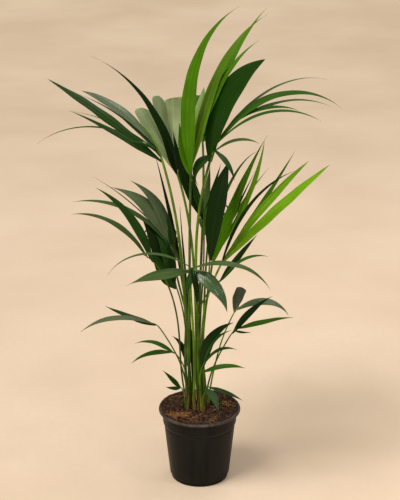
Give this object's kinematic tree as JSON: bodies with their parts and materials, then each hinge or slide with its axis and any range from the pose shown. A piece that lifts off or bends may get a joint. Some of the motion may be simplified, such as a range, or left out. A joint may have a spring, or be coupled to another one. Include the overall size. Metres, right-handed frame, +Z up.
{
  "type": "potted kentia palm",
  "caption": "Kentia palm with arching feather fronds on slender green petioles, rising from short sheathed stems in a filled round black nursery pot with a rolled lip.",
  "frame": {"origin": "centre of the flat underside of the pot, on the floor", "axes": "+Z up along the pot's axis, +X to the right of the plant seen from its front, +Y towards its back"},
  "size_m": [0.6579, 0.5115, 1.107],
  "materials": {
    "pot": "satin",
    "soil": "matte",
    "stem": "matte",
    "petiole": "satin",
    "leaf_dark": "satin",
    "leaf_mid": "satin",
    "leaf_grey": "satin",
    "leaf_bright": "satin"
  },
  "bodies": {
    "root": {"pot": "pot", "soil": "soil", "stem_1": "stem", "stem_2": "stem", "stem_3": "stem", "stem_4": "stem", "stem_5": "stem", "stem_6": "stem", "stem_7": "stem", "petiole_upper_left": "petiole", "frond_upper_left": "leaf_mid", "petiole_back_left": "petiole", "frond_back_left": "leaf_dark", "petiole_centre": "petiole", "frond_centre": "leaf_bright", "petiole_upper_right": "petiole", "frond_upper_right": "leaf_dark", "petiole_slim_middle": "petiole", "frond_slim_middle": "leaf_mid", "petiole_dark_middle": "petiole", "frond_dark_middle": "leaf_dark", "petiole_right_inner": "petiole", "frond_right_inner": "leaf_bright", "petiole_right_outer": "petiole", "frond_right_outer": "leaf_bright", "petiole_right_low": "petiole", "frond_right_low": "leaf_dark", "petiole_front": "petiole", "frond_front": "leaf_grey", "petiole_left_slim": "petiole", "frond_left_slim": "leaf_mid", "petiole_left_lower": "petiole", "frond_left_lower": "leaf_mid", "petiole_left_upper": "petiole", "frond_left_upper": "leaf_grey", "petiole_left_arch": "petiole", "frond_left_arch": "leaf_grey", "petiole_left_short": "petiole", "frond_left_short": "leaf_mid", "petiole_left_sprout": "petiole", "frond_left_sprout": "leaf_mid", "petiole_right_arch": "petiole", "frond_right_arch": "leaf_grey", "petiole_right_reach": "petiole", "frond_right_reach": "leaf_dark", "petiole_middle_low": "petiole", "frond_middle_low": "leaf_mid", "petiole_soil_leaf": "petiole", "frond_soil_leaf": "leaf_dark", "petiole_behind_left": "petiole", "frond_behind_left": "leaf_mid", "petiole_back_tall": "petiole", "frond_back_tall": "leaf_mid", "petiole_back_right": "petiole", "frond_back_right": "leaf_mid", "petiole_back_left_low": "petiole", "frond_back_left_low": "leaf_mid", "spear_left": "leaf_dark", "spear_middle": "leaf_dark"}
  },
  "joints": []
}
